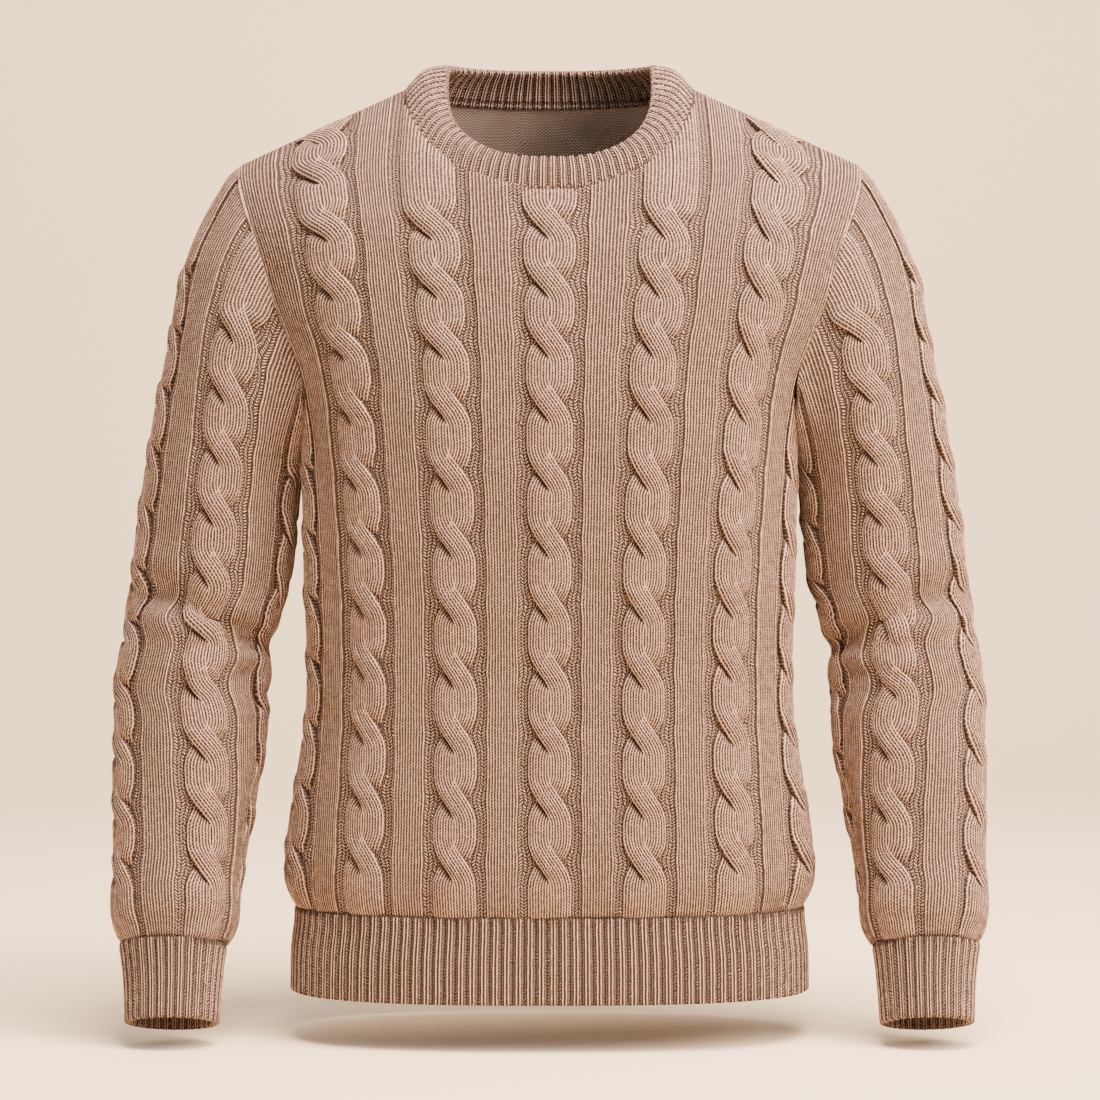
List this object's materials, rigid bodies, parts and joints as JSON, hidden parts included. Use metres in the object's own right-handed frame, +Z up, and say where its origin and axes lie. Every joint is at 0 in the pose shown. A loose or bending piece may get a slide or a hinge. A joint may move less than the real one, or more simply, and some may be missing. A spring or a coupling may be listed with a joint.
{
  "type": "cable knit sweater",
  "caption": "Hollow crew-neck pullover in cable knit with set-in sleeves, ribbed neckband, hem and cuffs, standing open as if worn.",
  "frame": {"origin": "midway between the two neck points, where the shoulder seams meet the neckband", "axes": "+Z up, the front of the sweater towards -Y, the wearer's left towards +X"},
  "size_m": [0.664, 0.254, 0.7385],
  "materials": {
    "cable_knit": "matt",
    "rib_knit": "matt"
  },
  "bodies": {
    "root": {"front": "cable_knit", "back": "cable_knit", "sleeve_left": "cable_knit", "sleeve_right": "cable_knit", "neckband": "rib_knit", "hem_rib": "rib_knit", "cuff_left": "rib_knit", "cuff_right": "rib_knit"}
  },
  "joints": []
}
